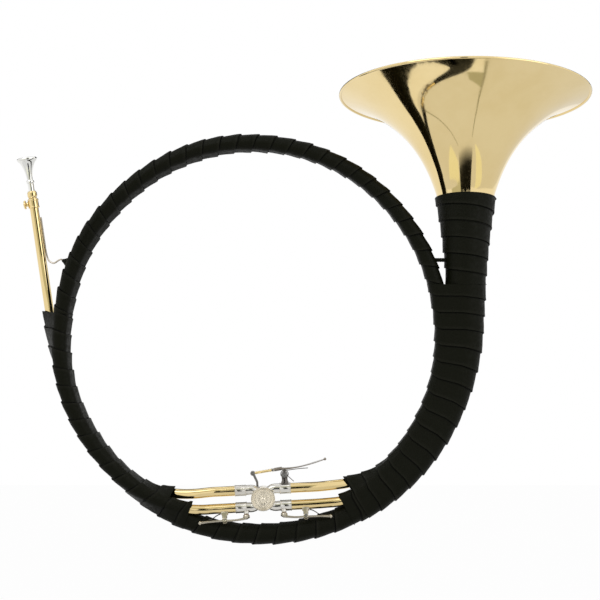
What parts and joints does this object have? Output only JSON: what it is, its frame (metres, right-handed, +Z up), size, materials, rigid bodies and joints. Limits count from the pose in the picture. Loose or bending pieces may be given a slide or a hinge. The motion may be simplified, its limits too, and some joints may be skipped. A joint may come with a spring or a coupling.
{
  "type": "hunting horn",
  "caption": "Wound hunting horn in black leather with a change valve and thumb lever, water keys, a flared bell and a mouthpiece on a tuning shank.",
  "frame": {"origin": "the peg that the horn hangs on, at the lowest point of the ring's inner leather over the centre of gravity", "axes": "+X to the bell's side, +Y to the back (the valve's cap faces -Y), +Z up to the bell's mouth"},
  "size_m": [0.6969, 0.3018, 0.5705],
  "materials": {
    "lacquered_brass": "polished and lacquered",
    "nickel_silver": "polished nickel silver",
    "silver_plate": "polished silver plate",
    "spring_steel": "blued",
    "black_leather": "satin",
    "brown_cork": "natural cork"
  },
  "bodies": {
    "horn": {"axle_screw": "spring_steel", "bearing_plate": "nickel_silver", "bell": "lacquered_brass", "bell_brace": "black_leather", "bell_branch": "lacquered_brass", "bell_wrap": "black_leather", "bottom_wrap": "black_leather", "brace_foot": "black_leather", "clamp_collar": "lacquered_brass", "eb_loop": "lacquered_brass", "ferrule_lower_left": "nickel_silver", "ferrule_lower_right": "nickel_silver", "ferrule_upper_left": "nickel_silver", "ferrule_upper_right": "nickel_silver", "key_saddle_left": "nickel_silver", "key_saddle_right": "nickel_silver", "key_screw_left": "spring_steel", "key_screw_right": "spring_steel", "key_spring_left": "spring_steel", "key_spring_right": "spring_steel", "knuckle_lower_left": "nickel_silver", "knuckle_lower_right": "nickel_silver", "knuckle_upper_left": "nickel_silver", "knuckle_upper_right": "nickel_silver", "left_wrap": "black_leather", "leg_lower_left": "lacquered_brass", "leg_lower_right": "lacquered_brass", "leg_upper_left": "lacquered_brass", "leg_upper_right": "lacquered_brass", "lever_post": "nickel_silver", "lever_spring": "spring_steel", "lower_left_sleeve": "black_leather", "lower_right_sleeve": "black_leather", "main_tube": "lacquered_brass", "mouthpipe": "lacquered_brass", "mouthpipe_brace": "silver_plate", "right_wrap": "black_leather", "ring_wrap_left": "black_leather", "ring_wrap_right": "black_leather", "stop_cork_pressed": "brown_cork", "stop_cork_rest": "brown_cork", "stop_plate": "nickel_silver", "valve_cap": "nickel_silver", "valve_casing": "nickel_silver", "water_nipple_left": "nickel_silver", "water_nipple_right": "nickel_silver"},
    "lever": {"lever": "lacquered_brass", "adjusting_rod": "lacquered_brass", "lock_nut": "nickel_silver"},
    "link": {"link": "spring_steel"},
    "rotor": {"valve_rotor": "nickel_silver", "stop_arm": "spring_steel", "stop_screw": "spring_steel"},
    "key_left": {"water_key_left": "nickel_silver", "water_cork_left": "brown_cork"},
    "key_right": {"water_key_right": "nickel_silver", "water_cork_right": "brown_cork"},
    "shank": {"tuning_shank": "lacquered_brass"},
    "mouthpiece": {"mouthpiece": "silver_plate"},
    "thumbscrew": {"thumbscrew": "lacquered_brass"}
  },
  "joints": [
    {"name": "lever_press", "type": "hinge", "parent": "horn", "child": "lever", "pos_m": [-0.07536, 0.006, -0.35913], "axis": [0, 1, 0], "range_deg": [0, 17.9], "stiffness_Nm_per_rad": 0.12, "springref_deg": -20.05, "deforming": ["lever_spring"]},
    {"name": "rotor_turn", "type": "hinge", "parent": "horn", "child": "rotor", "pos_m": [-0.10074, -0.007, -0.387], "axis": [0, 1, 0], "range_deg": [0, 90.1]},
    {"name": "link_swing", "type": "hinge", "parent": "lever", "child": "link", "pos_m": [-0.11363, 0.006, -0.35894], "axis": [0, 1, 0], "range_deg": [-13.8, 0.1]},
    {"name": "water_key_left_press", "type": "hinge", "parent": "horn", "child": "key_left", "pos_m": [-0.14643, -0.01428, -0.41331], "axis": [0.0246, 0.8829, -0.4688], "range_deg": [0, 12], "stiffness_Nm_per_rad": 0.05, "springref_deg": -17.19, "deforming": ["key_spring_left"]},
    {"name": "water_key_right_press", "type": "hinge", "parent": "horn", "child": "key_right", "pos_m": [-0.04956, -0.01428, -0.40824], "axis": [-0.0246, -0.8829, 0.4688], "range_deg": [0, 12], "stiffness_Nm_per_rad": 0.05, "springref_deg": -17.19, "deforming": ["key_spring_right"]},
    {"name": "shank_slide", "type": "slide", "parent": "horn", "child": "shank", "axis": [-0.1475, 0, 0.9891], "range_m": [0, 0.03]},
    {"name": "mouthpiece_pull", "type": "slide", "parent": "shank", "child": "mouthpiece", "axis": [-0.1475, 0, 0.9891], "range_m": [0, 0.03]},
    {"name": "thumbscrew_turn", "type": "hinge", "parent": "horn", "child": "thumbscrew", "pos_m": [-0.37886, 0.0145, -0.03394], "axis": [-0.9891, 0, -0.1475], "range_deg": [0, 360]}
  ],
  "couplings": [
    {"joint": "rotor_turn", "follows": "lever_press", "ratio": 5.028},
    {"joint": "link_swing", "follows": "lever_press", "ratio": -0.766}
  ]
}
